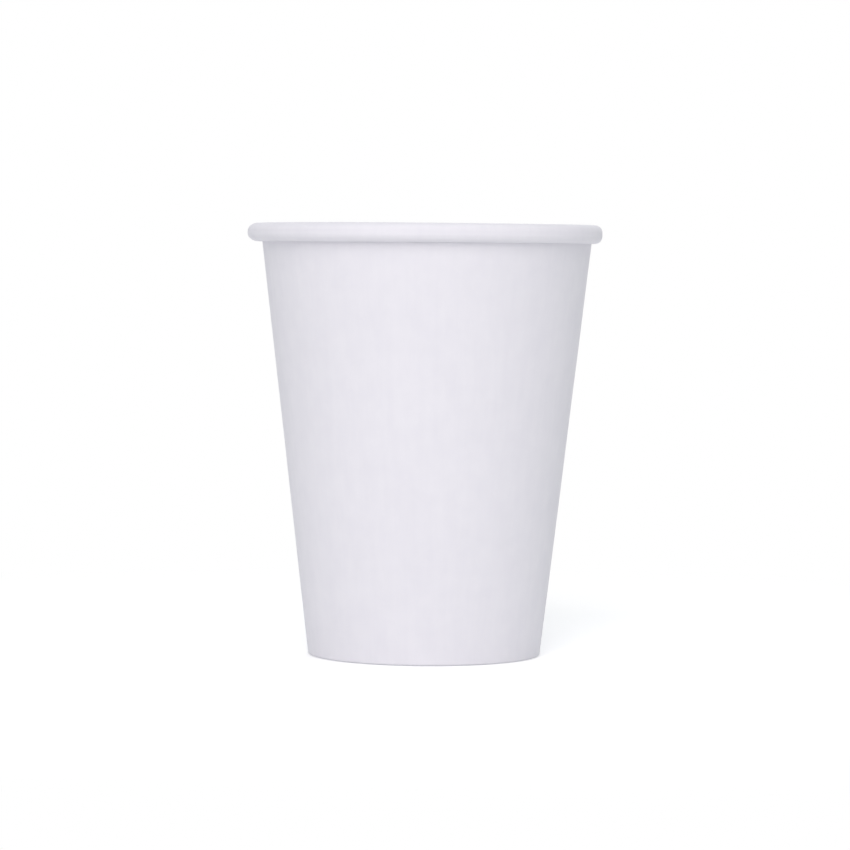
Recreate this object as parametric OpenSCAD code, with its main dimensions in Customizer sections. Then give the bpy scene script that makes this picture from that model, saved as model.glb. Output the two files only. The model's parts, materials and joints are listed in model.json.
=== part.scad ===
// Paper cold cup: a lapped and rolled sidewall of coated board, with a
// separate drawn bottom held in the hem at its foot.
// Millimetres, +Z up, origin at the centre of the foot on the table.

/* [Cup] */
// Height from the table to the top of the rim
cup_h = 109.5; // [80:0.5:180]
// Diameter over the rolled rim
rim_d = 90; // [75:0.5:110]
// Diameter of the sidewall's outer face, carried down to the table
foot_d = 59; // [45:0.5:68]

/* [Sidewall board] */
// Thickness of the sidewall board
wall_t = 0.35; // [0.25:0.01:0.45]
// Width of the side seam's overlap, half way up the cup
lap_w = 7; // [4:0.5:12]
// Depth to which the two plies of the seam are pressed into each other
lap_press = 0.05; // [0.02:0.01:0.1]
// Length over which the outer ply comes down off the seam
ramp_w = 2.5; // [1.5:0.25:5]
// Direction that the seam faces, anticlockwise from +X
seam_at = 90; // [0:5:355]

/* [Rolled rim] */
// Width of the roll, from the wall's inner face to the rim's edge
roll_w = 3.3; // [2.9:0.1:4.5]
// Height of the roll
roll_h = 4.7; // [4:0.1:6.5]
// Height of the straight band round the roll's edge
band_h = 0.7; // [0.4:0.1:1.5]
// Radius of the tight bends on the roll's inner side, at the board's middle
curl_r = 0.6; // [0.55:0.05:0.8]
// Clear space left between the turns of the roll at the seam
roll_gap = 0.1; // [0.05:0.01:0.2]
// Angle through which the tucked end turns over inside the roll
tuck_turn = 90; // [30:10:150]

/* [Foot and bottom] */
// Thickness of the bottom board
bottom_t = 0.3; // [0.2:0.01:0.4]
// Height of the bottom's underside above the table
recess_h = 7.5; // [5:0.25:14]
// Height of the turned-in hem's raw edge above the table
hem_h = 6.3; // [4:0.1:7]
// Inside radius of the two creases under the foot
crease_r = 0.04; // [0.02:0.01:0.1]
// Radius on the upper edge of the bottom
edge_r = 0.8; // [0.5:0.1:2]
// Thickness of the seal film on each side of the bottom's skirt
seal_t = 0.02; // [0.01:0.01:0.05]
// Space under the skirt's raw edge
skirt_gap = 0.15; // [0.1:0.05:0.5]

/* [Hidden] */
$fn = 120;

// Largest angle between neighbouring points on a bend.
bend_step = 10;
// Lofted steps in the ramp beside the seam.
ramp_steps = 4;
// The ramp is this much thinner on each side than the plies it runs into, and
// runs knit_l into them, so that no two faces coincide.
knit_t = 0.01;
knit_l = 0.1;
board_colour = [0.93, 0.93, 0.95];

// The wall's lean from the vertical: its outer face passes foot_at and its
// inner face passes neck_at, half way up the roll.
foot_at = [foot_d / 2, 0];
neck_at = [rim_d / 2 - roll_w, cup_h - roll_h / 2];
span = neck_at - foot_at;
lean = atan2(span.x, span.y) + asin(wall_t / norm(span));
out = [cos(lean), -sin(lean)];

// Radius, at height z, of the cone that lies `inset` inside the wall's outer face.
function cone_r(inset, z) = foot_at.x - inset / out.x + z * tan(lean);

// Insets of the middle of each layer at the foot, from the outside in.
wall_inset = wall_t / 2;
skirt_inset = wall_t + seal_t + bottom_t / 2;
hem_inset = wall_t + 2 * seal_t + bottom_t + wall_t / 2;

// The seam, as angles about the axis.
mid_r = cone_r(wall_inset, cup_h / 2);
lap_angle = lap_w / mid_r * 180 / PI;
ramp_angle = ramp_w / mid_r * 180 / PI;
knit_angle = knit_l / mid_r * 180 / PI;
ply_step = wall_t - lap_press;

// ---- Sections ----
// A board's section is a list of stations [point, normal] along its middle
// line. The normal points to the right of the way the list runs.

function bend_angles(from, to) =
    let (n = ceil(abs(to - from) / bend_step))
    [for (i = [0:n]) from + (to - from) * i / n];

// Quarter and part turns of a circle or an ellipse whose half-sizes are r.
function bend_point(centre, r, a) = centre + [r.x * cos(a), r.y * sin(a)];
function bend_normal(r, a) = let (n = [r.y * cos(a), r.x * sin(a)]) n / norm(n);

function right_bend(centre, r, from, to) =
    [for (a = bend_angles(from, to)) [bend_point(centre, r, a), -bend_normal(r, a)]];

function left_bend(centre, r, from, to) =
    [for (a = bend_angles(from, to)) [bend_point(centre, r, a), bend_normal(r, a)]];

function round_r(r) = [r, r];
function after_first(list) = [for (i = [1:len(list) - 1]) list[i]];

// Outline of the board between two offsets from its middle line.
function face_points(line, offset) = [for (s = line) s[0] + offset * s[1]];
function reversed(list) = [for (i = [len(list) - 1:-1:0]) list[i]];

module board_section(line, near, far) {
    polygon(concat(face_points(line, near), reversed(face_points(line, far))));
}

// ---- Sidewall ----

// Foot: down the hem, through two creases, and up the wall.
crease_mid_r = crease_r + wall_t / 2;
crease_z = wall_t / 2 + crease_mid_r;
hem_crease = [cone_r(hem_inset, crease_z) + crease_mid_r / out.x, crease_z];
wall_crease = [cone_r(wall_inset, crease_z) - crease_mid_r / out.x, crease_z];

// Rim: the wall turns out into a crown, runs down round the edge and back in
// underneath, and then up between the wall and the edge, a pitch from the wall.
edge_line_r = rim_d / 2 - wall_t / 2;
top_line_z = cup_h - wall_t / 2;
under_line_z = cup_h - roll_h + wall_t / 2;
band_top_z = cup_h - roll_h / 2 + band_h / 2;
band_under_z = band_top_z - band_h;
roll_pitch = 2 * wall_t + roll_gap;
tuck_away = roll_pitch + curl_r;

// Radius at height z of a point that stands `away` outside the wall's middle line.
function clear_of_wall_r(away, z) = cone_r(wall_inset - away, z);

crown_z = top_line_z - curl_r;
crown_x = clear_of_wall_r(curl_r, crown_z);
under_z = under_line_z + curl_r;
under_x = clear_of_wall_r(tuck_away, under_z);
under_size = [edge_line_r - under_x, band_under_z - under_line_z];

// The tucked end turns over a pitch below the crown, which slopes down there.
crown_size = [edge_line_r - crown_x, top_line_z - band_top_z];
function crown_height(x) =
    band_top_z + crown_size.y * sqrt(1 - pow((x - crown_x) / crown_size.x, 2));
tuck_z = crown_height(clear_of_wall_r(tuck_away, crown_z)) - tuck_away;
tuck_x = clear_of_wall_r(tuck_away, tuck_z);

hem_edge = [[[cone_r(hem_inset, hem_h), hem_h], -out]];
foot_line = concat(
    left_bend(hem_crease, round_r(crease_mid_r), 180 - lean, 270),
    left_bend(wall_crease, round_r(crease_mid_r), 270, 360 - lean));
roll_line = concat(
    right_bend([crown_x, crown_z], round_r(curl_r), 180 - lean, 90),
    after_first(right_bend([crown_x, band_top_z], crown_size, 90, 0)),
    right_bend([under_x, band_under_z], under_size, 0, -90),
    after_first(right_bend([under_x, under_z], round_r(curl_r), -90, -180 - lean)));
tuck_line = right_bend([tuck_x, tuck_z], round_r(curl_r), 180 - lean, 180 - lean - tuck_turn);

ply_line = concat(hem_edge, foot_line, roll_line, tuck_line);
// The outer ply's corner is notched, so it stops where the tucked end turns over.
lap_line = concat(hem_edge, foot_line, roll_line, [tuck_line[0]]);

// A line with both of its ends drawn in by `cut`.
function trimmed(line, cut) =
    let (last = len(line) - 1)
    [for (i = [0:last])
        let (n = line[i][1], along = [-n.y, n.x], move = i == 0 ? cut : i == last ? -cut : 0)
        [line[i][0] + move * along, n]];

// One face of a ply, pressed flat where it would stand lower than `floor_z`
// under the foot.
function raised_face(line, offset, floor_z) =
    [for (p = face_points(line, offset)) [p.x, max(p.y, floor_z)]];

function turned(points, angle) =
    [for (p = points) [p.x * cos(angle), p.x * sin(angle), p.y]];

// Sheet lofted through sections that share one count of points: the near face's
// points and then the far face's, at each step.
module lofted_board(sections) {
    n = len(sections[0]) / 2;
    steps = len(sections) - 1;
    function at(k, side, i) = (2 * k + side) * n + i;
    walls = [for (k = [0:steps - 1], side = [0, 1], i = [0:n - 2])
        let (a = at(k, side, i), b = at(k, side, i + 1),
             c = at(k + 1, side, i + 1), d = at(k + 1, side, i))
        each side == 0 ? [[a, c, b], [a, d, c]] : [[a, b, c], [a, c, d]]];
    edges = [for (k = [0:steps - 1], i = [0, n - 1])
        let (a = at(k, 0, i), b = at(k + 1, 0, i), c = at(k + 1, 1, i), d = at(k, 1, i))
        each i == 0 ? [[a, c, b], [a, d, c]] : [[a, b, c], [a, c, d]]];
    caps = [for (k = [0, steps], i = [0:n - 2])
        let (a = at(k, 0, i), b = at(k, 0, i + 1), c = at(k, 1, i + 1), d = at(k, 1, i))
        each k == 0 ? [[a, b, c], [a, c, d]] : [[a, c, b], [a, d, c]]];
    polyhedron([for (s = sections) each s], concat(walls, edges, caps));
}

// Runs under the whole of the outer ply and ends just inside the ramp.
module under_ply() {
    rotate_extrude(angle = 360 - ramp_angle + 3 * knit_angle, start = lap_angle + ramp_angle)
        board_section(ply_line, -wall_t / 2, wall_t / 2);
}

module outer_ply() {
    rotate_extrude(angle = lap_angle)
        polygon(concat(raised_face(lap_line, ply_step - wall_t / 2, 0),
            reversed(raised_face(lap_line, ply_step + wall_t / 2, 0))));
}

// Brings the outer ply down to the line of the under ply.
module ramp() {
    half_t = wall_t / 2 - knit_t;
    line = trimmed(lap_line, 2 * knit_t);
    function section(rise, angle) = turned(concat(
        raised_face(line, rise - half_t, 0),
        raised_face(line, rise + half_t, knit_t)), angle);
    from = lap_angle + knit_angle;
    to = lap_angle + ramp_angle - knit_angle;
    lofted_board(concat(
        [section(ply_step, from - 2 * knit_angle)],
        [for (k = [0:ramp_steps]) let (s = k / ramp_steps)
            section(ply_step * (1 - s * s * (3 - 2 * s)), from + (to - from) * s)],
        [section(0, to + 2 * knit_angle)]));
}

module sidewall() {
    color(board_colour)
        rotate([0, 0, seam_at - lap_angle / 2]) {
            under_ply();
            outer_ply();
            ramp();
        }
}

// ---- Bottom ----

disc_z = recess_h + bottom_t / 2;
edge_mid_r = edge_r - bottom_t / 2;
edge_centre = [cone_r(skirt_inset, disc_z - edge_mid_r) - edge_mid_r / out.x,
    disc_z - edge_mid_r];
skirt_end_z = wall_t + skirt_gap;

bottom_line = concat(
    [[[0, disc_z], [0, -1]]],
    right_bend(edge_centre, round_r(edge_mid_r), 90, -lean),
    [[[cone_r(skirt_inset, skirt_end_z), skirt_end_z], -out]]);

module bottom() {
    color(board_colour)
        rotate_extrude()
            board_section(bottom_line, -bottom_t / 2, bottom_t / 2);
}

sidewall();
bottom();
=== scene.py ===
"""A paper cold cup on its frame: a wrapped and rolled sidewall, a bottom and a plain stage."""

import json
from math import asin, atan2, ceil, cos, hypot, pi, radians, sin, sqrt

import bpy
from bpy.props import FloatProperty, FloatVectorProperty, IntProperty, PointerProperty
from mathutils import Matrix, Vector


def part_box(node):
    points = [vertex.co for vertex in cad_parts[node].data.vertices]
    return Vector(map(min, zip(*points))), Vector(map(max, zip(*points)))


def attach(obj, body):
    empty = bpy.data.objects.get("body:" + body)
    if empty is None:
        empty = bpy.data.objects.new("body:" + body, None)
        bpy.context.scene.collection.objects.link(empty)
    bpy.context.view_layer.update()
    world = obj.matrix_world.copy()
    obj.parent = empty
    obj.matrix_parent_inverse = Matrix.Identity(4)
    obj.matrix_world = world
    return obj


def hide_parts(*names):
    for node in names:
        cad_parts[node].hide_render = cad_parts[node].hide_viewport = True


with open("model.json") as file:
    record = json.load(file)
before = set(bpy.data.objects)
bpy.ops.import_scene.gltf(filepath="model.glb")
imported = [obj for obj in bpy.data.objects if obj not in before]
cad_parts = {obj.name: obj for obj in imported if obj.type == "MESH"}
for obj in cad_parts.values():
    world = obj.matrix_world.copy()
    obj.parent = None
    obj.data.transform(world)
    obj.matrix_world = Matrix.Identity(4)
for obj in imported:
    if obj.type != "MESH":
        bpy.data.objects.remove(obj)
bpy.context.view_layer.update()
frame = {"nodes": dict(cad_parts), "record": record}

bl_info = {
    "name": "Paper Cold Cup",
    "version": (1, 0, 0),
    "blender": (4, 5, 0),
    "location": "3D View > Sidebar > Paper Cup",
    "description": "Makes a paper cold cup with a rolled rim, and a plain stage for it",
    "category": "Add Mesh",
}

MM = 0.001
LID_RIM = next(m for m in frame["record"]["mounts"] if m["name"] == "lid_rim")
RIM_WIDTH = 2 * LID_RIM["dims"]["r_mm"] * MM
CUP_HEIGHT = round(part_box("sidewall")[1][2], 4)


def length(name, description, default_mm):
    """A length property, whose default is given in millimetres."""
    return FloatProperty(
        name=name, description=description, default=default_mm * MM,
        min=0, precision=5, unit="LENGTH", subtype="DISTANCE")


def angle(name, description, default_degrees):
    """An angle property, whose default is given in degrees."""
    return FloatProperty(
        name=name, description=description, default=radians(default_degrees),
        unit="ROTATION", subtype="ANGLE")


def power(name, description, default):
    """A lamp's power, in watts."""
    return FloatProperty(
        name=name, description=description, default=default, min=0, unit="POWER")


def share(name, description, default):
    """A property between 0 and 1."""
    return FloatProperty(
        name=name, description=description, default=default, min=0, max=1, subtype="FACTOR")


def colour(name, description, default):
    """A linear colour property."""
    return FloatVectorProperty(
        name=name, description=description, default=default, size=3, min=0, max=1,
        subtype="COLOR")


class CupSizes(bpy.types.PropertyGroup):
    """Sizes of the cup's two boards and of how they are folded and rolled"""

    cup_height: length("Height", "From the table to the top of the rim", CUP_HEIGHT / MM)
    rim_width: length("Rim Width", "Across the outside of the rolled rim", RIM_WIDTH / MM)
    foot_width: length("Foot Width", "Across the sidewall, carried down to the table", 59)

    board: length("Sidewall Board", "Thickness of the sidewall's board", 0.35)
    lap_width: length("Lap Width", "Overlap of the side seam, half way up", 7)
    lap_gap: length("Lap Gap", "Clear space between the plies of the seam", 0.01)
    pressed_ply: length("Pressed Ply", "Outer ply's thickness, pressed under the foot", 0.11)
    ramp_width: length("Ramp Width", "Over which the outer ply comes down", 2.5)
    seam_bearing: angle("Seam Bearing", "Direction that the side seam faces", 90)

    roll_width: length("Roll Width", "From the wall's inner face to the rim's edge", 3.3)
    roll_height: length("Roll Height", "Height of the rolled rim", 4.7)
    band_height: length("Band Height", "Straight band round the roll's edge", 0.7)
    curl_radius: length("Curl Radius", "Of the tight bends on the roll's inner side", 0.65)
    roll_gap: length("Roll Gap", "Clear space between the roll and the wall", 0.03)
    tuck_gap: length("Tuck Gap", "Clear space between the tucked end and the crown", 0.75)
    tuck_turn: angle("Tuck Turn", "How far the tucked end turns over", 90)
    roll_drift: share("Roll Drift", "How much wider the roll is on its wider side", 0.17)
    drift_bearing: angle("Drift Bearing", "Direction of the roll's wider side", 180)

    bottom_board: length("Bottom Board", "Thickness of the bottom's board", 0.3)
    recess_height: length("Recess Height", "Of the bottom's underside off the table", 7.5)
    hem_height: length("Hem Height", "Of the hem's raw edge off the table", 6.3)
    foot_round: length("Foot Rounding", "Inside the crease below the wall", 0.3)
    crease_radius: length("Crease Radius", "Inside the crease below the hem", 0.04)
    edge_radius: length("Edge Radius", "On the upper edge of the bottom", 0.8)
    seal: length("Seal", "Film on each side of the bottom's skirt", 0.02)
    skirt_gap: length("Skirt Gap", "Space under the skirt's raw edge", 0.25)
    dish: length("Dish", "How far the middle of the bottom sags", 0.25)

    wall_wave: length("Wall Wave", "Unevenness of the wall", 0.09)
    roll_wave: length("Roll Wave", "Unevenness of the rolled rim", 0.07)
    bottom_wave: length("Bottom Wave", "Unevenness of the bottom", 0.1)
    wall_wave_span: length("Wall Wave Span", "From wave to wave on the sidewall", 34)
    bottom_wave_span: length("Bottom Wave Span", "From wave to wave on the bottom", 22)

    crimp_count: IntProperty(
        name="Crimp Count", description="Pressed marks round the hem", default=112, min=3)
    crimp_width: length("Crimp Width", "Width of one pressed mark", 0.55)
    crimp_height: length("Crimp Height", "Height of one pressed mark", 4.2)
    crimp_rise: length("Crimp Rise", "How far a pressed mark stands off the hem", 0.09)


class CupFinish(bpy.types.PropertyGroup):
    """Colour and surface of the board"""

    board_colour: colour("Board", "Face of the coated board", (0.82, 0.81, 0.85))
    cloud_colour: colour("Clouding", "Thinner places in the board", (0.795, 0.785, 0.83))
    cut_colour: colour("Cut Edge", "Raw edge of the board", (0.78, 0.74, 0.70))
    cut_dark: colour("Cut Edge Pores", "Pores in the raw edge", (0.58, 0.54, 0.50))
    outer_roughness: share("Outer Roughness", "Of the board's outer face", 0.6)
    lining_roughness: share("Lining Roughness", "Of the board's lined face", 0.56)
    fibre_size: length("Fibre Size", "Size of the finest grain", 0.5)
    cloud_size: length("Cloud Size", "Size of the clouding", 5)


class StageSetup(bpy.types.PropertyGroup):
    """Camera, lamps and floor"""

    camera_distance: length("Camera Distance", "From the cup's axis", 953)
    camera_height: length("Camera Height", "Above the table", 101.5)
    camera_left: length("Camera Left", "To the left of the cup's axis", 0.15)
    camera_pitch: angle("Camera Pitch", "How far the camera looks down", 2.588)
    camera_roll: angle("Camera Roll", "Turn about the line of sight", 0.45)
    camera_view: angle("Camera View", "Width of the camera's view", 12.94)
    floor_reach: length("Floor Reach", "Radius of the floor", 6000)
    shadow_reach: length("Shadow Reach", "Radius in which the floor takes shadows", 260)
    floor_whiteness: share("Floor Whiteness", "Plain white added to the floor", 0.25)
    key_power: power("Key Power", "Of the lamp in front", 25.7)
    key_colour: colour("Key Colour", "Of the lamp in front", (1.0, 0.94, 0.95))
    sky_colour: colour("Sky Colour", "Of the light from all round", (0.935, 0.972, 1.0))
    back_power: power("Back Power", "Of the lamp behind", 18)
    top_power: power("Top Power", "Of the lamp above", 1.1)
    sky_level: FloatProperty(
        name="Sky Level", description="Light from all round", default=0.55, min=0)


# ---- Section of the board ----
# A line is a list of stations (point, normal) in the plane of radius and height.
# The normal points to the right of the way the line runs.

BEND_STEP = radians(9)
# Longest straight between two stations.
STRAIGHT_STEP = 3 * MM
# Stations nearer to each other than this are one.
SAME_STATION = 1e-9
# Keeps a bend of a whole number of steps from gaining one by rounding.
STEP_ROUNDING = 1e-6
# Stations along the bottom's disc. Their normals lean with its sag up to this share of its
# squared radius, and are level past it, in line with the disc's edge.
DISH_STEPS = 24
LEVEL_FROM = 0.9


def bend(centre, size, start, end, side):
    """Stations round part of an ellipse. Side is -1 for a right turn and 1 for a left one."""
    steps = ceil(abs(end - start) / BEND_STEP - STEP_ROUNDING)
    stations = []
    for i in range(steps + 1):
        a = start + (end - start) * i / steps
        point = Vector((centre[0] + size[0] * cos(a), centre[1] + size[1] * sin(a)))
        normal = Vector((size[1] * cos(a), size[0] * sin(a))).normalized()
        stations.append((point, side * normal))
    return stations


def spaced(line):
    """The line with stations added along its straights."""
    out = [line[0]]
    for (p0, n0), (p1, n1) in zip(line, line[1:]):
        gap = (p1 - p0).length
        if gap < SAME_STATION:
            continue
        steps = max(1, ceil(gap / STRAIGHT_STEP))
        out += [(p0.lerp(p1, i / steps), n0.lerp(n1, i / steps)) for i in range(1, steps + 1)]
    return out


class Cone:
    """The wall's straight cone, which everything else is set against."""

    def __init__(self, s):
        foot = s.foot_width / 2
        neck = s.rim_width / 2 - s.roll_width
        neck_height = s.cup_height - s.roll_height / 2
        run = neck - foot
        self.foot = foot
        self.lean = atan2(run, neck_height) + asin(s.board / hypot(run, neck_height))
        self.out = Vector((cos(self.lean), -sin(self.lean)))
        mid = self.radius(s.board / 2, s.cup_height / 2)
        self.lap = s.lap_width / mid
        self.ramp = s.ramp_width / mid

    def radius(self, inset, height):
        """Radius, at that height, of the cone that lies that far inside the outer face."""
        return self.foot - inset / self.out.x + height * sin(self.lean) / cos(self.lean)


def sidewall_line(s, cone):
    """From the hem's raw edge, under the foot, up the wall and round the roll to its end."""
    half = s.board / 2
    hem_inset = s.board + 2 * s.seal + s.bottom_board + half
    crease = s.crease_radius + half
    crease_z = half + crease
    hem_x = cone.radius(hem_inset, crease_z) + crease / cone.out.x
    foot = s.foot_round + half
    foot_z = half + foot
    wall_x = cone.radius(half, foot_z) - foot / cone.out.x

    edge_r = s.rim_width / 2 - half
    top_z = s.cup_height - half
    under_z = s.cup_height - s.roll_height + half
    band_top = s.cup_height - s.roll_height / 2 + s.band_height / 2
    band_under = band_top - s.band_height
    curl = (s.curl_radius, s.curl_radius)
    tuck_away = s.board + s.roll_gap + s.curl_radius

    crown_z = top_z - s.curl_radius
    crown_x = cone.radius(half - s.curl_radius, crown_z)
    crown = (edge_r - crown_x, top_z - band_top)
    curl_z = under_z + s.curl_radius
    curl_x = cone.radius(half - tuck_away, curl_z)
    along = (cone.radius(half - tuck_away, crown_z) - crown_x) / crown[0]
    tuck_z = (band_top + crown[1] * sqrt(1 - along * along)
              - s.board - s.tuck_gap - s.curl_radius)
    tuck_x = cone.radius(half - tuck_away, tuck_z)

    hem_top = Vector((cone.radius(hem_inset, s.hem_height), s.hem_height))
    lean = cone.lean
    return (
        [(hem_top, -cone.out)]
        + bend((hem_x, crease_z), (crease, crease), pi - lean, 1.5 * pi, 1)
        + bend((wall_x, foot_z), (foot, foot), 1.5 * pi, 2 * pi - lean, 1)
        + bend((crown_x, crown_z), curl, pi - lean, pi / 2, -1)
        + bend((crown_x, band_top), crown, pi / 2, 0, -1)
        + bend((curl_x, band_under), (edge_r - curl_x, band_under - under_z), 0, -pi / 2, -1)
        + bend((curl_x, curl_z), curl, -pi / 2, -pi - lean, -1)
        + bend((tuck_x, tuck_z), curl, pi - lean, pi - lean - s.tuck_turn, -1)
    )


def bottom_line(s, cone):
    """From the middle of the bottom, over its edge and down to the skirt's raw edge."""
    half = s.bottom_board / 2
    skirt_inset = s.board + s.seal + half
    disc_z = s.recess_height + half
    turn = s.edge_radius - half
    edge_z = disc_z - turn
    edge_x = cone.radius(skirt_inset, edge_z) - turn / cone.out.x
    skirt_z = s.board + s.skirt_gap
    level = Vector((0, -1))
    dish = []
    for i in range(DISH_STEPS):
        t = i / DISH_STEPS
        slope = Vector((edge_x, 4 * s.dish * t)).normalized()
        dish.append((Vector((edge_x * t, disc_z - s.dish * (1 - t * t) ** 2)),
                     Vector((slope.y, -slope.x)) if t * t < LEVEL_FROM else level))
    return (
        dish
        + bend((edge_x, edge_z), (turn, turn), pi / 2, -cone.lean, -1)
        + [(Vector((cone.radius(skirt_inset, skirt_z), skirt_z)), -cone.out)]
    )


def inner_run(line):
    """How far each station belongs to the roll's inner run, which lies against the wall: 0 up
    to the roll's edge, and 1 from where the roll is nearest to the wall."""
    edge = max(range(len(line)), key=lambda i: line[i][0].x)
    edge_x = line[edge][0].x
    nearest_x = min(point.x for point, _ in line[edge:])
    shares = [0.0] * len(line)
    for i in range(edge + 1, len(line)):
        shares[i] = max(shares[i - 1], (edge_x - line[i][0].x) / (edge_x - nearest_x))
    return shares


def section_mesh(name, line, cone, inset, waves, run):
    """The line as a mesh of edges, with what the wrapping reads at each station. The inset is
    the wall's own line, from which a station's overhang counts. The run says how far a station
    belongs to the roll's inner run, which keeps its place by the wall where the roll is wider,
    and stands off the seam."""
    mesh = bpy.data.meshes.new(name)
    mesh.from_pydata(
        [(p.x, 0, p.y) for p, _ in line], [(i, i + 1) for i in range(len(line) - 1)], [])
    overhang = [max(0, p.x - cone.radius(inset, p.y)) * (1 - in_run)
                for (p, _), in_run in zip(line, run)]
    for attribute_name, kind, key, readings in (
        ("board_normal", "FLOAT_VECTOR", "vector", [(n.x, 0, n.y) for _, n in line]),
        ("overhang", "FLOAT", "value", overhang),
        ("waviness", "FLOAT", "value", waves),
        ("inner_run", "FLOAT", "value", run),
    ):
        attribute = mesh.attributes.new(attribute_name, kind, "POINT")
        for item, reading in zip(attribute.data, readings):
            setattr(item, key, reading)
    return mesh


# ---- Node trees ----


class Draft:
    """Adds nodes to a tree, and links or sets their inputs."""

    def __init__(self, tree):
        self.tree = tree

    def feed(self, socket, value):
        """Links a socket to another's output, or sets its value."""
        if isinstance(value, bpy.types.NodeSocket):
            self.tree.links.new(value, socket)
        else:
            socket.default_value = value

    def socket(self, sockets, key):
        """The socket in use of that name, or of that number."""
        if isinstance(key, int):
            return sockets[key]
        return next(s for s in sockets if s.name == key and s.enabled)

    def add(self, kind, inputs=None, **settings):
        """A new node, its settings made and its inputs fed by name or by number."""
        node = self.tree.nodes.new(kind)
        for key, value in settings.items():
            setattr(node, key, value)
        for key, value in (inputs or {}).items():
            self.feed(self.socket(node.inputs, key), value)
        return node

    def math(self, operation, *values):
        """The result of a Math node."""
        inputs = dict(enumerate(values))
        return self.add("ShaderNodeMath", inputs, operation=operation).outputs[0]

    def vector(self, operation, first, second=None, scale=None):
        """The result of a Vector Math node."""
        inputs = {0: first}
        if second is not None:
            inputs[1] = second
        if scale is not None:
            inputs["Scale"] = scale
        return self.add("ShaderNodeVectorMath", inputs, operation=operation).outputs[0]

    def mix(self, kind, factor, first, second):
        """The result of a Mix node of that kind."""
        inputs = {"Factor": factor, "A": first, "B": second}
        node = self.add("ShaderNodeMix", inputs, data_type=kind)
        return self.socket(node.outputs, "Result")


def add_sockets(tree, in_out, sockets):
    """Names a group's sockets. Each is (name, kind) or (name, kind, default)."""
    for name, kind, *default in sockets:
        socket = tree.interface.new_socket(
            name=name, in_out=in_out, socket_type="NodeSocket" + kind)
        if default:
            socket.default_value = default[0]


def new_group(name, kind, inputs, outputs):
    """A node group with its sockets, its group input and its group output."""
    tree = bpy.data.node_groups.new(name, kind)
    add_sockets(tree, "INPUT", inputs)
    add_sockets(tree, "OUTPUT", outputs)
    draft = Draft(tree)
    return tree, draft, draft.add("NodeGroupInput").outputs, draft.add("NodeGroupOutput").inputs


def seam_group():
    """The seam, by the turn since its outer ply's raw edge. Lifted is the share of the outer
    ply's rise at that turn. Near is the share of the seam at its bearing: it comes up over a
    ramp too, and is full half a ramp before the raw edge."""
    name = "Seam"
    if name in bpy.data.node_groups:
        return bpy.data.node_groups[name]
    tree, draft, given, result = new_group(
        name, "GeometryNodeTree",
        [("Turn", "Float"), ("Lap", "Float"), ("Ramp", "Float")],
        [("Lifted", "Float"), ("Near", "Float")])

    def eased(turn, start, end, first, last):
        return draft.add(
            "ShaderNodeMapRange",
            {"Value": turn, "From Min": start, "From Max": end, "To Min": first, "To Max": last},
            interpolation_type="SMOOTHSTEP").outputs["Result"]

    ramp_end = draft.math("ADD", given["Lap"], given["Ramp"])
    bearing = draft.math("FLOORED_MODULO", given["Turn"], 2 * pi)
    full_from = draft.math("SUBTRACT", 2 * pi, draft.math("DIVIDE", given["Ramp"], 2))
    coming = eased(
        bearing, draft.math("SUBTRACT", full_from, given["Ramp"]), full_from, 0.0, 1.0)
    going = eased(bearing, given["Lap"], ramp_end, 1.0, 0.0)
    draft.feed(result["Lifted"], eased(given["Turn"], given["Lap"], ramp_end, 1.0, 0.0))
    draft.feed(result["Near"], draft.math("MAXIMUM", coming, going))
    return tree


# Points of the wrapped sheet nearer to each other than this are one.
SAME_POINT = 1e-6
# A fold sharper than this shows as an edge.
EDGE_ANGLE = radians(50)


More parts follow.
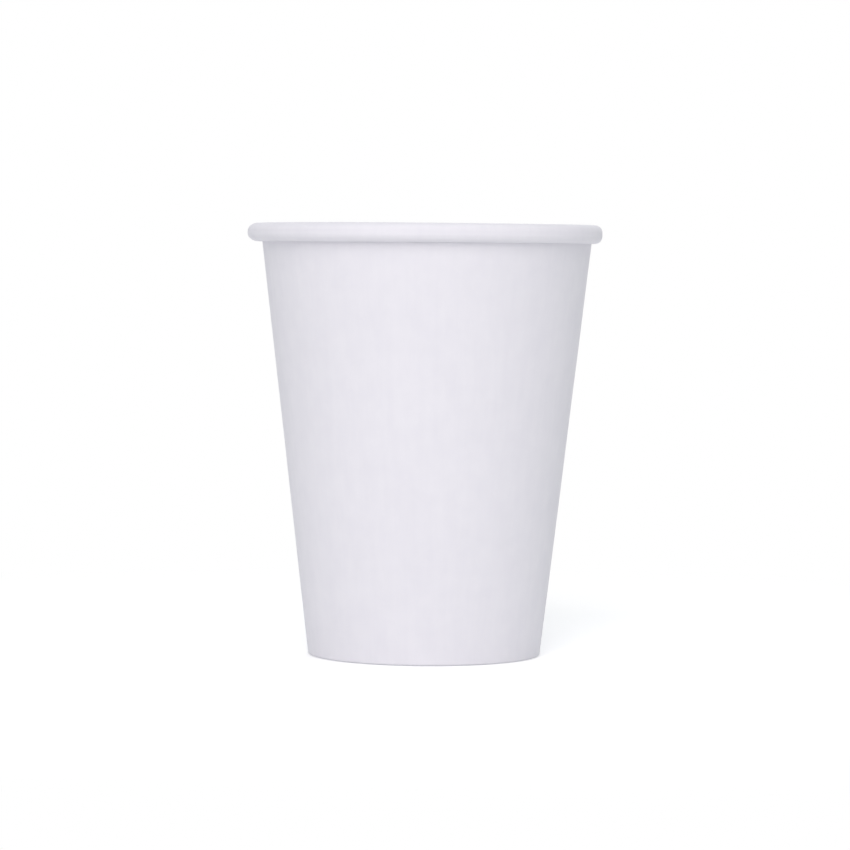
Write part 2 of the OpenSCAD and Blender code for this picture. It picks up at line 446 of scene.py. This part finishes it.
def wrapped_board_tree():
    """Wraps a section line round the axis as one sheet of board that may overlap itself."""
    tree, draft, given, result = new_group(
        "Wrapped Board", "GeometryNodeTree",
        [("Section", "Geometry"), ("Stations", "Int", 2), ("Seam Steps", "Int", 1),
         ("Round Steps", "Int", 3), ("Board", "Float"), ("Lap", "Float"), ("Ramp", "Float"),
         ("Ply Step", "Float"), ("Lap Gap", "Float"), ("Pressed Ply", "Float"),
         ("Seam Bearing", "Float"), ("Roll Drift", "Float"), ("Drift Bearing", "Float"),
         ("Wave Size", "Float", 0.03), ("Seed", "Float"),
         ("Face Material", "Material"), ("Lining Material", "Material"),
         ("Edge Material", "Material")],
        [("Geometry", "Geometry")])

    position = draft.add("GeometryNodeInputPosition").outputs[0]
    # A flat grid, with a row for each station and a column for each step about the axis.
    columns = draft.math("ADD", given["Seam Steps"], given["Round Steps"])
    grid = draft.add("GeometryNodeMeshGrid", {
        "Size X": columns, "Size Y": draft.math("SUBTRACT", given["Stations"], 1),
        "Vertices X": draft.math("ADD", columns, 1), "Vertices Y": given["Stations"]})
    place = draft.add("ShaderNodeSeparateXYZ", {0: position}).outputs
    half_rows = draft.math("DIVIDE", draft.math("SUBTRACT", given["Stations"], 1), 2)
    column = draft.math("ADD", place["X"], draft.math("DIVIDE", columns, 2))
    row = draft.math("ROUND", draft.math("ADD", place["Y"], half_rows))

    def sampled(value, data_type):
        return draft.add(
            "GeometryNodeSampleIndex",
            {"Geometry": given["Section"], "Value": value, "Index": row},
            data_type=data_type).outputs["Value"]

    def attribute(name, data_type):
        return draft.add(
            "GeometryNodeInputNamedAttribute", {"Name": name},
            data_type=data_type).outputs["Attribute"]

    station = sampled(position, "FLOAT_VECTOR")
    normal = sampled(attribute("board_normal", "FLOAT_VECTOR"), "FLOAT_VECTOR")
    overhang = sampled(attribute("overhang", "FLOAT"), "FLOAT")
    waviness = sampled(attribute("waviness", "FLOAT"), "FLOAT")
    in_run = sampled(attribute("inner_run", "FLOAT"), "FLOAT")

    # The seam's columns are closer together than the rest.
    seam = draft.math("ADD", given["Lap"], given["Ramp"])
    in_seam = draft.math("MULTIPLY", seam, draft.math("DIVIDE", column, given["Seam Steps"]))
    past_seam = draft.math("DIVIDE", draft.math(
        "SUBTRACT", column, given["Seam Steps"]), given["Round Steps"])
    round_turn = draft.math("SUBTRACT", 2 * pi, given["Ramp"])
    beyond = draft.math("ADD", seam, draft.math("MULTIPLY", past_seam, round_turn))
    turn = draft.add(
        "GeometryNodeSwitch",
        {"Switch": draft.math("GREATER_THAN", column, given["Seam Steps"]),
         "False": in_seam, "True": beyond},
        input_type="FLOAT").outputs[0]
    start = draft.math("SUBTRACT", given["Seam Bearing"], draft.math("DIVIDE", given["Lap"], 2))
    bearing = draft.math("ADD", start, turn)

    seam_share = draft.add(
        "GeometryNodeGroup", {"Turn": turn, "Lap": given["Lap"], "Ramp": given["Ramp"]},
        node_tree=seam_group()).outputs
    rise = draft.math("MULTIPLY", seam_share["Lifted"], given["Ply Step"])

    def turned(vector):
        return draft.add(
            "ShaderNodeVectorRotate", {"Vector": vector, "Angle": bearing},
            rotation_type="Z_AXIS").outputs[0]

    radial = turned((1, 0, 0))
    facing = turned(normal)
    towards = draft.math("COSINE", draft.math("SUBTRACT", bearing, given["Drift Bearing"]))
    drift = draft.math("MULTIPLY", draft.math("MULTIPLY", overhang, given["Roll Drift"]), towards)
    # The roll's inner run stands off the seam's outer ply.
    push = draft.math("MULTIPLY", in_run, draft.math(
        "MULTIPLY", seam_share["Near"], given["Ply Step"]))
    nominal = draft.vector("ADD", turned(station), draft.vector(
        "SCALE", radial, scale=draft.math("ADD", drift, push)))
    noise = draft.add(
        "ShaderNodeTexNoise",
        {"Vector": nominal, "W": given["Seed"], "Detail": 1.0,
         "Scale": draft.math("DIVIDE", 1.0, given["Wave Size"])},
        noise_dimensions="4D")
    wave = draft.math("MULTIPLY", waviness, draft.math(
        "MULTIPLY", 2, draft.math("SUBTRACT", noise.outputs[0], 0.5)))
    lift = draft.math("SUBTRACT", draft.math("ADD", rise, wave), draft.math(
        "DIVIDE", given["Board"], 2))

    def kept(geometry, name, data_type, value, domain="POINT"):
        return draft.add(
            "GeometryNodeStoreNamedAttribute",
            {"Geometry": geometry, "Name": name, "Value": value},
            data_type=data_type, domain=domain).outputs[0]

    def no_lower(point, lowest):
        at = draft.add("ShaderNodeSeparateXYZ", {0: point}).outputs
        return draft.add("ShaderNodeCombineXYZ", {
            "X": at["X"], "Y": at["Y"], "Z": draft.math("MAXIMUM", at["Z"], lowest)}).outputs[0]

    def joined_up(geometry):
        return draft.add("GeometryNodeMergeByDistance", {
            "Geometry": geometry, "Distance": SAME_POINT}).outputs[0]

    def finished(geometry, material, **where):
        return draft.add("GeometryNodeSetMaterial", {
            "Geometry": geometry, "Material": material, **where}).outputs[0]

    # Nothing stands lower than the table, so under the foot the seam's outer ply is pressed
    # flat, and the ply above it makes room.
    under_ply = draft.math("MULTIPLY", seam_share["Near"], draft.math("GREATER_THAN", turn, pi))
    room = draft.math("MULTIPLY", under_ply, draft.math(
        "ADD", given["Pressed Ply"], given["Lap Gap"]))
    pressed = draft.math("MULTIPLY", seam_share["Lifted"], given["Pressed Ply"])
    flat = kept(grid.outputs["Mesh"], "facing", "FLOAT_VECTOR", facing)
    flat = kept(flat, "lowest", "FLOAT", room)
    lined_place = draft.vector("ADD", nominal, draft.vector("SCALE", facing, scale=lift))
    sheet = draft.add("GeometryNodeSetPosition", {
        "Geometry": flat, "Position": no_lower(lined_place, pressed)})
    closed = joined_up(sheet.outputs[0])

    # The sheet is the lined face. Its outer face is raised off it, with the cut edges between.
    raised = draft.add(
        "GeometryNodeExtrudeMesh",
        {"Mesh": closed, "Offset": attribute("facing", "FLOAT_VECTOR"),
         "Offset Scale": given["Board"], "Individual": False},
        mode="FACES").outputs
    cut = kept(raised["Mesh"], "cut_edge", "BOOLEAN", raised["Side"], "FACE")
    lining = draft.add("GeometryNodeFlipFaces", {"Mesh": closed}).outputs[0]
    lined = kept(lining, "lined", "BOOLEAN", True, "FACE")
    both = draft.add("GeometryNodeJoinGeometry")
    draft.feed(both.inputs[0], cut)
    draft.feed(both.inputs[0], lined)

    grounded = draft.add("GeometryNodeSetPosition", {
        "Geometry": joined_up(both.outputs[0]),
        "Position": no_lower(position, attribute("lowest", "FLOAT"))})
    edge_angle = draft.add("GeometryNodeInputMeshEdgeAngle").outputs[0]
    smooth = draft.add("GeometryNodeSetShadeSmooth", {
        "Geometry": grounded.outputs[0],
        "Selection": draft.math("GREATER_THAN", edge_angle, EDGE_ANGLE),
        "Shade Smooth": False}, domain="EDGE")
    real = draft.add("GeometryNodeRealizeInstances", {0: smooth.outputs[0]}).outputs[0]
    faced = finished(real, given["Face Material"])
    filmed = finished(faced, given["Lining Material"], Selection=attribute("lined", "BOOLEAN"))
    edged = finished(
        filmed, given["Edge Material"], Selection=attribute("cut_edge", "BOOLEAN"))
    draft.feed(result["Geometry"], edged)
    return tree


def crimp_tree():
    """Sets pressed marks round the hem, each in line with it and on the seam's upper ply."""
    tree, draft, given, result = new_group(
        "Hem Crimp", "GeometryNodeTree",
        [("Mark", "Geometry"), ("Count", "Int", 3), ("Radius", "Float"), ("Height", "Float"),
         ("Lean", "Float"), ("Lap", "Float"), ("Ramp", "Float"), ("Ply Step", "Float"),
         ("Seam Bearing", "Float"), ("Material", "Material")],
        [("Geometry", "Geometry")])
    ring = draft.add("GeometryNodeMeshCircle", {"Vertices": given["Count"], "Radius": 1.0})
    bearing = draft.math("MULTIPLY", draft.add("GeometryNodeInputIndex").outputs[0], draft.math(
        "DIVIDE", 2 * pi, given["Count"]))
    start = draft.math("SUBTRACT", given["Seam Bearing"], draft.math("DIVIDE", given["Lap"], 2))
    turn = draft.math("FLOORED_MODULO", draft.math("SUBTRACT", bearing, start), 2 * pi)
    lifted = draft.add(
        "GeometryNodeGroup", {"Turn": turn, "Lap": given["Lap"], "Ramp": given["Ramp"]},
        node_tree=seam_group()).outputs["Lifted"]
    radius = draft.math("SUBTRACT", given["Radius"], draft.math(
        "MULTIPLY", lifted, given["Ply Step"]))
    place = draft.add("ShaderNodeCombineXYZ", {
        "X": draft.math("MULTIPLY", radius, draft.math("COSINE", bearing)),
        "Y": draft.math("MULTIPLY", radius, draft.math("SINE", bearing)),
        "Z": given["Height"]})
    spots = draft.add("GeometryNodeSetPosition", {
        "Geometry": ring.outputs["Mesh"], "Position": place.outputs[0]})
    turning = draft.add("ShaderNodeCombineXYZ", {"Y": given["Lean"], "Z": bearing})
    marks = draft.add("GeometryNodeInstanceOnPoints", {
        "Points": spots.outputs[0], "Instance": given["Mark"],
        "Rotation": draft.add("FunctionNodeEulerToRotation", {0: turning.outputs[0]}).outputs[0]})
    real = draft.add("GeometryNodeRealizeInstances", {0: marks.outputs[0]})
    finished = draft.add("GeometryNodeSetMaterial", {
        "Geometry": real.outputs[0], "Material": given["Material"]})
    draft.feed(result["Geometry"], finished.outputs[0])
    return tree


def made_by(tree, name, mesh, values):
    """A piece whose plain mesh is what the tree makes of the given mesh."""
    piece = bpy.data.objects.new(name, mesh)
    bpy.context.scene.collection.objects.link(piece)
    modifier = piece.modifiers.new(tree.name, "NODES")
    modifier.node_group = tree
    for item in tree.interface.items_tree:
        if item.in_out == "INPUT" and item.name in values:
            modifier[item.identifier] = values[item.name]
    shown = piece.evaluated_get(bpy.context.evaluated_depsgraph_get())
    made = bpy.data.meshes.new_from_object(shown)
    made.name = name
    piece.modifiers.clear()
    piece.data = made
    for i in reversed(range(len(made.materials))):
        if made.materials[i] is None:
            made.materials.pop(index=i)
    if not made.polygons:
        raise RuntimeError(f"{tree.name} made no faces for {name}")
    return piece


# ---- Materials ----


# The grain runs up the board, so the streaks' noise is drawn out in height.
STREAK_SCALE = (1.0, 1.0, 0.06)
# Sizes of the streaks and of the coating's peel, against the clouds and the fibres.
STREAK_SIZE = 0.35
PEEL_SIZE = 5.0
# What the clouds, the streaks and the fibres each give.
CLOUD_SHARE = 0.6
STREAK_SHARE = 0.4
FIBRE_SHARE = 0.35
# The part of the mixed noise that goes from no clouding to full clouding.
CLOUD_RANGE = (0.35, 0.65)


def board_grain_group():
    """Clouding and fibre of paperboard: a clouding value and a height."""
    name = "Board Grain"
    if name in bpy.data.node_groups:
        return bpy.data.node_groups[name]
    tree, draft, given, result = new_group(
        name, "ShaderNodeTree",
        [("Position", "Vector"), ("Fibre Size", "Float", 0.0005), ("Cloud Size", "Float", 0.005)],
        [("Clouding", "Float"), ("Height", "Float")])

    def noise(size, detail, vector=given["Position"], roughness=0.5):
        return draft.add("ShaderNodeTexNoise", {
            "Vector": vector, "Scale": draft.math("DIVIDE", 1.0, size),
            "Detail": detail, "Roughness": roughness}).outputs[0]

    drawn_out = draft.vector("MULTIPLY", given["Position"], STREAK_SCALE)
    streak_size = draft.math("MULTIPLY", given["Cloud Size"], STREAK_SIZE)
    peel_size = draft.math("MULTIPLY", given["Fibre Size"], PEEL_SIZE)
    clouds = noise(given["Cloud Size"], detail=3.0)
    streaks = noise(streak_size, detail=2.0, vector=drawn_out)
    fibres = noise(given["Fibre Size"], detail=4.0, roughness=0.6)
    peel = noise(peel_size, detail=2.0)
    mixed = draft.math("ADD", draft.math("MULTIPLY", clouds, CLOUD_SHARE), draft.math(
        "MULTIPLY", streaks, STREAK_SHARE))
    clouding = draft.add("ShaderNodeMapRange", {
        "Value": mixed, "From Min": CLOUD_RANGE[0], "From Max": CLOUD_RANGE[1]})
    draft.feed(result["Clouding"], clouding.outputs[0])
    draft.feed(result["Height"], draft.math(
        "ADD", draft.math("MULTIPLY", fibres, FIBRE_SHARE), peel))
    return tree


# Depth of the grain on the board's faces and on its raw edge.
FACE_BUMP = 0.03 * MM
EDGE_BUMP = 0.05 * MM


def new_material(name):
    """A material with a Principled shader, and the draft and shader to finish it with."""
    material = bpy.data.materials.new(name)
    material.use_nodes = True
    draft = Draft(material.node_tree)
    return material, draft, material.node_tree.nodes["Principled BSDF"]


def grain_nodes(draft, finish, fibre_scale=1.0):
    """The board's grain, read at the piece's own coordinates."""
    here = draft.add("ShaderNodeTexCoord").outputs["Object"]
    return draft.add(
        "ShaderNodeGroup",
        {"Position": here, "Fibre Size": finish.fibre_size * fibre_scale,
         "Cloud Size": finish.cloud_size},
        node_tree=board_grain_group()).outputs


def finish_grain_bump(draft, shader, height, strength, depth):
    """Bump from the grain's height."""
    bump = draft.add("ShaderNodeBump", {
        "Height": height, "Strength": strength, "Distance": depth})
    draft.feed(shader.inputs["Normal"], bump.outputs[0])


def finish_face(draft, shader, finish, roughness, unevenness, bump_strength, gloss):
    """Colour, roughness, bump and gloss of one of the board's two faces."""
    grain = grain_nodes(draft, finish)
    draft.feed(shader.inputs["Base Color"], draft.mix(
        "RGBA", grain["Clouding"], (*finish.board_colour, 1), (*finish.cloud_colour, 1)))
    uneven = draft.math("MULTIPLY", draft.math("SUBTRACT", grain["Clouding"], 0.5), unevenness)
    draft.feed(shader.inputs["Roughness"], draft.math("ADD", roughness, uneven))
    finish_grain_bump(draft, shader, grain["Height"], bump_strength, FACE_BUMP)
    shader.inputs["Specular IOR Level"].default_value = gloss


def board_material(finish):
    """The board's outer face: a thin matt coating over the fibres."""
    name = "coated_board"
    if name in bpy.data.materials:
        return bpy.data.materials[name]
    material, draft, shader = new_material(name)
    finish_face(draft, shader, finish, finish.outer_roughness,
                unevenness=0.08, bump_strength=0.3, gloss=0.2)
    return material


def lining_material(finish):
    """The board's inner face, under a smooth clear film that keeps the drink in."""
    name = "film_lined_board"
    if name in bpy.data.materials:
        return bpy.data.materials[name]
    material, draft, shader = new_material(name)
    finish_face(draft, shader, finish, finish.lining_roughness,
                unevenness=0.05, bump_strength=0.12, gloss=0.15)
    return material


def cut_edge_material(finish):
    """The board's raw edge: warmer and matt, with open fibres."""
    name = "cut_board_edge"
    if name in bpy.data.materials:
        return bpy.data.materials[name]
    material, draft, shader = new_material(name)
    grain = grain_nodes(draft, finish, fibre_scale=0.3)
    draft.feed(shader.inputs["Base Color"], draft.mix(
        "RGBA", grain["Height"], (*finish.cut_colour, 1), (*finish.cut_dark, 1)))
    finish_grain_bump(draft, shader, grain["Height"], 0.6, EDGE_BUMP)
    shader.inputs["Roughness"].default_value = 0.85
    shader.inputs["Specular IOR Level"].default_value = 0.2
    return material


def board_finishes(finish):
    """The wrapped board's three materials, by the names of their inputs."""
    return {"Face Material": board_material(finish), "Lining Material": lining_material(finish),
            "Edge Material": cut_edge_material(finish)}


# ---- Pieces ----

# Columns of the wrapped board, round the cup and across its seam.
ROUND_STEPS = 240
SEAM_STEPS = 28
# Where each board's unevenness starts.
SIDEWALL_SEED = 3.0
BOTTOM_SEED = 8.0
# The bottom holds the foot round: the wall's unevenness grows from none at the table to all
# of it at this many heights of the hem.
HELD_HEMS = 3
# Faces of one pressed mark, round it and from end to end.
MARK_SIDES = 8
MARK_BANDS = 5


def stand_for(piece, node):
    """The piece takes the place of a node of the frame."""
    if node not in frame["nodes"]:
        raise RuntimeError(f"the frame has no {node} node for {piece.name} to stand for")
    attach(piece, "root")
    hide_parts(node)


class CUP_OT_sidewall(bpy.types.Operator):
    """Wrap and lap the sidewall's board, roll its rim and fold its hem"""

    bl_idname = "paper_cup.sidewall"
    bl_label = "Sidewall"

    def execute(self, context):
        sizes, finish = context.scene.cup_sizes, context.scene.cup_finish
        cone = Cone(sizes)
        neck = sizes.cup_height - sizes.roll_height
        held_foot = HELD_HEMS * sizes.hem_height

        def wave(height):
            """The foot is held round by the bottom, and the roll keeps its own unevenness."""
            if height > neck:
                return sizes.roll_wave
            near_roll = min(1, (neck - height) / sizes.roll_height)
            wall = sizes.roll_wave + (sizes.wall_wave - sizes.roll_wave) * near_roll
            return wall * min(1, max(0, height) / held_foot)

        line = spaced(sidewall_line(sizes, cone))
        section = section_mesh(
            "sidewall_section", line, cone, sizes.board / 2,
            [wave(point.y) for point, _ in line], inner_run(line))
        piece = made_by(wrapped_board_tree(), "rolled_sidewall", section, {
            "Stations": len(line), "Seam Steps": SEAM_STEPS, "Round Steps": ROUND_STEPS,
            "Board": sizes.board, "Lap": cone.lap, "Ramp": cone.ramp,
            "Ply Step": sizes.board + sizes.lap_gap,
            "Lap Gap": sizes.lap_gap, "Pressed Ply": sizes.pressed_ply,
            "Seam Bearing": sizes.seam_bearing, "Roll Drift": sizes.roll_drift,
            "Drift Bearing": sizes.drift_bearing,
            "Wave Size": sizes.wall_wave_span, "Seed": SIDEWALL_SEED,
            **board_finishes(finish)})
        stand_for(piece, "sidewall")
        return {"FINISHED"}


class CUP_OT_bottom(bpy.types.Operator):
    """Draw the bottom's disc and skirt"""

    bl_idname = "paper_cup.bottom"
    bl_label = "Bottom"

    def execute(self, context):
        sizes, finish = context.scene.cup_sizes, context.scene.cup_finish
        cone = Cone(sizes)
        line = spaced(bottom_line(sizes, cone))
        edge = max(point.x for point, _ in line)
        waves = [sizes.bottom_wave * (1 - (point.x / edge) ** 4)
                 if point.y > sizes.recess_height - sizes.dish else 0 for point, _ in line]
        section = section_mesh(
            "bottom_section", line, cone, sizes.board, waves, [0.0] * len(line))
        # The bottom has no seam and no roll, so the inputs of those stay at 0.
        piece = made_by(wrapped_board_tree(), "recessed_bottom", section, {
            "Stations": len(line), "Round Steps": ROUND_STEPS, "Board": sizes.bottom_board,
            "Wave Size": sizes.bottom_wave_span, "Seed": BOTTOM_SEED,
            **board_finishes(finish)})
        stand_for(piece, "bottom")
        return {"FINISHED"}


def pressed_mark(name, rise, width, height):
    """A closed ellipsoid of few faces, standing on end, as the mesh of one pressed mark."""
    points = [(0, 0, height / 2)]
    for band in range(1, MARK_BANDS):
        polar = pi * band / MARK_BANDS
        for side in range(MARK_SIDES):
            a = 2 * pi * side / MARK_SIDES
            points.append((rise * sin(polar) * cos(a), width / 2 * sin(polar) * sin(a),
                           height / 2 * cos(polar)))
    points.append((0, 0, -height / 2))

    def at(band, side):
        return 1 + (band - 1) * MARK_SIDES + side % MARK_SIDES

    faces = []
    for i in range(MARK_SIDES):
        faces.append((0, at(1, i), at(1, i + 1)))
        faces += [(at(band, i), at(band + 1, i), at(band + 1, i + 1), at(band, i + 1))
                  for band in range(1, MARK_BANDS - 1)]
        faces.append((at(MARK_BANDS - 1, i), len(points) - 1, at(MARK_BANDS - 1, i + 1)))
    mesh = bpy.data.meshes.new(name)
    mesh.from_pydata(points, [], faces)
    mesh.shade_smooth()
    return mesh


class CUP_OT_hem_crimp(bpy.types.Operator):
    """Press the marks of the crimping wheel into the hem"""

    bl_idname = "paper_cup.hem_crimp"
    bl_label = "Hem Crimp"

    def execute(self, context):
        sizes, finish = context.scene.cup_sizes, context.scene.cup_finish
        cone = Cone(sizes)
        mesh = pressed_mark(
            "crimp_mark", sizes.crimp_rise, sizes.crimp_width, sizes.crimp_height)
        hem_face = 2 * sizes.board + 2 * sizes.seal + sizes.bottom_board
        middle = sizes.hem_height / 2
        piece = made_by(crimp_tree(), "hem_crimp", mesh, {
            "Count": sizes.crimp_count, "Radius": cone.radius(hem_face, middle),
            "Height": middle, "Lean": cone.lean, "Lap": cone.lap, "Ramp": cone.ramp,
            "Ply Step": sizes.board + sizes.lap_gap, "Seam Bearing": sizes.seam_bearing,
            "Material": board_material(finish)})
        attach(piece, "root")
        return {"FINISHED"}


FLOOR_COLOUR = (0.9, 0.9, 0.9, 1)
FLOOR_SIDES = 96
# The floor lies this far below the table's level, clear of the foot's flat edge.
FLOOR_DROP = 0.05 * MM
# Share of the shadow's reach at which the floor starts to turn plain white.
FADE_START = 0.3


def floor_material(reach, whiteness, foot):
    """A pale floor that takes a soft shadow near the cup, is plain white further out, and
    isn't seen from below. Under the foot only the camera meets it, so that light reaches the
    recess from below."""
    material, draft, shader = new_material("stage_floor")
    shader.inputs["Base Color"].default_value = FLOOR_COLOUR
    shader.inputs["Roughness"].default_value = 1.0
    shader.inputs["Specular IOR Level"].default_value = 0.0
    here = draft.add("ShaderNodeTexCoord").outputs["Object"]
    away = draft.add("ShaderNodeVectorMath", {0: here}, operation="LENGTH").outputs["Value"]
    far = draft.add(
        "ShaderNodeMapRange",
        {"Value": away, "From Min": reach * FADE_START, "From Max": reach},
        interpolation_type="SMOOTHSTEP").outputs[0]
    seen = background_ray(draft)
    lift = draft.add("ShaderNodeEmission", {"Strength": draft.math("MULTIPLY", seen, whiteness)})
    near = draft.add("ShaderNodeAddShader", {0: shader.outputs[0], 1: lift.outputs[0]})
    white = draft.add("ShaderNodeEmission").outputs[0]
    lit = draft.add("ShaderNodeMixShader", {
        0: draft.math("MULTIPLY", far, seen), 1: near.outputs[0], 2: white}).outputs[0]
    clear = draft.add("ShaderNodeBsdfTransparent").outputs[0]
    below = draft.add("ShaderNodeNewGeometry").outputs["Backfacing"]
    camera = draft.add("ShaderNodeLightPath").outputs["Is Camera Ray"]
    under_foot = draft.math("MULTIPLY", draft.math("LESS_THAN", away, foot), draft.math(
        "SUBTRACT", 1, camera))
    sided = draft.add("ShaderNodeMixShader", {
        0: draft.math("MAXIMUM", below, under_foot), 1: lit, 2: clear}).outputs[0]
    draft.feed(material.node_tree.nodes["Material Output"].inputs["Surface"], sided)
    return material


def background_ray(draft):
    """1 for a ray that shows the background, and 0 for one that lights the cup."""
    ray = draft.add("ShaderNodeLightPath").outputs
    seen = draft.math("MAXIMUM", ray["Is Camera Ray"], ray["Is Glossy Ray"])
    return draft.math("MAXIMUM", seen, ray["Is Transmission Ray"])


WHITE = (1, 1, 1)
# Width and height of each soft lamp, and where its middle stands, in metres.
LAMPS = {
    "key": ((0.9, 1.9), (-0.25, -1.93, 1.31)),
    "back": ((0.9, 0.9), (0.25, 2.3, 0.95)),
    "top": ((0.6, 0.6), (0.1, -0.2, 1.2)),
}


def add_lamp(name, power, tint, target, mirrored=True):
    """A soft lamp that faces the target, and that gloss may show or not."""
    size, place = LAMPS[name]
    lamp = bpy.data.lights.new(name, "AREA")
    lamp.shape = "RECTANGLE"
    lamp.size, lamp.size_y = size
    lamp.energy = power
    lamp.color = tint
    holder = bpy.data.objects.new(name, lamp)
    holder.location = place
    holder.rotation_euler = (Vector(target) - Vector(place)).to_track_quat("-Z", "Y").to_euler()
    holder.visible_glossy = mirrored
    bpy.context.scene.collection.objects.link(holder)


# Nearest that the camera sees.
CLIP_START = 10 * MM


class CUP_OT_stage(bpy.types.Operator):
    """Set the floor, the lamps, the sky and the camera"""

    bl_idname = "paper_cup.stage"
    bl_label = "Stage"

    def execute(self, context):
        scene, stage = context.scene, context.scene.cup_stage
        middle = (0, 0, scene.cup_sizes.cup_height / 2)

        turns = [2 * pi * i / FLOOR_SIDES for i in range(FLOOR_SIDES)]
        reach = stage.floor_reach
        mesh = bpy.data.meshes.new("floor")
        mesh.from_pydata([(reach * cos(a), reach * sin(a), -FLOOR_DROP) for a in turns],
                         [], [range(FLOOR_SIDES)])
        mesh.materials.append(floor_material(
            stage.shadow_reach, stage.floor_whiteness, scene.cup_sizes.foot_width / 2))
        floor = bpy.data.objects.new("floor", mesh)
        scene.collection.objects.link(floor)

        add_lamp("key", stage.key_power, stage.key_colour, middle)
        add_lamp("back", stage.back_power, WHITE, middle, mirrored=False)
        add_lamp("top", stage.top_power, WHITE, middle)

        world = bpy.data.worlds.new("studio")
        world.use_nodes = True
        scene.world = world
        draft = Draft(world.node_tree)
        seen = background_ray(draft)
        level = draft.mix("FLOAT", seen, stage.sky_level, 1.0)
        sky = world.node_tree.nodes["Background"]
        draft.feed(sky.inputs["Color"], draft.mix(
            "RGBA", seen, (*stage.sky_colour, 1), (*WHITE, 1)))
        draft.feed(sky.inputs["Strength"], level)

        camera = bpy.data.cameras.new("camera")
        camera.angle = stage.camera_view
        camera.clip_start = CLIP_START
        viewer = bpy.data.objects.new("camera", camera)
        viewer.matrix_world = (
            Matrix.Translation((-stage.camera_left, -stage.camera_distance, stage.camera_height))
            @ Matrix.Rotation(pi / 2 - stage.camera_pitch, 4, "X")
            @ Matrix.Rotation(stage.camera_roll, 4, "Z"))
        scene.collection.objects.link(viewer)
        scene.camera = viewer
        scene.view_settings.view_transform = "Standard"
        return {"FINISHED"}


class CUP_PT_panel(bpy.types.Panel):
    """The cup's pieces, its sizes and its finish"""

    bl_label = "Paper Cup"
    bl_idname = "CUP_PT_panel"
    bl_space_type = "VIEW_3D"
    bl_region_type = "UI"
    bl_category = "Paper Cup"

    def draw(self, context):
        layout, scene = self.layout, context.scene
        for operator in OPERATORS:
            layout.operator(operator.bl_idname)
        for label, group in (("Sizes", scene.cup_sizes), ("Finish", scene.cup_finish),
                             ("Stage", scene.cup_stage)):
            box = layout.box()
            box.label(text=label)
            for name in group.bl_rna.properties.keys():
                if name not in ("rna_type", "name"):
                    box.prop(group, name)


OPERATORS = (CUP_OT_sidewall, CUP_OT_bottom, CUP_OT_hem_crimp, CUP_OT_stage)
GROUPS = {"cup_sizes": CupSizes, "cup_finish": CupFinish, "cup_stage": StageSetup}


def register():
    """Registers the classes and hangs the settings on the scene."""
    for cls in (*GROUPS.values(), *OPERATORS, CUP_PT_panel):
        bpy.utils.register_class(cls)
    for name, cls in GROUPS.items():
        setattr(bpy.types.Scene, name, PointerProperty(type=cls))


def unregister():
    """Takes the settings off the scene and the classes out again."""
    for name in GROUPS:
        delattr(bpy.types.Scene, name)
    for cls in reversed((*GROUPS.values(), *OPERATORS, CUP_PT_panel)):
        bpy.utils.unregister_class(cls)


def main():
    """Makes the cup and its stage."""
    register()
    bpy.ops.paper_cup.sidewall()
    bpy.ops.paper_cup.bottom()
    bpy.ops.paper_cup.hem_crimp()
    bpy.ops.paper_cup.stage()


if __name__ == "__main__":
    main()
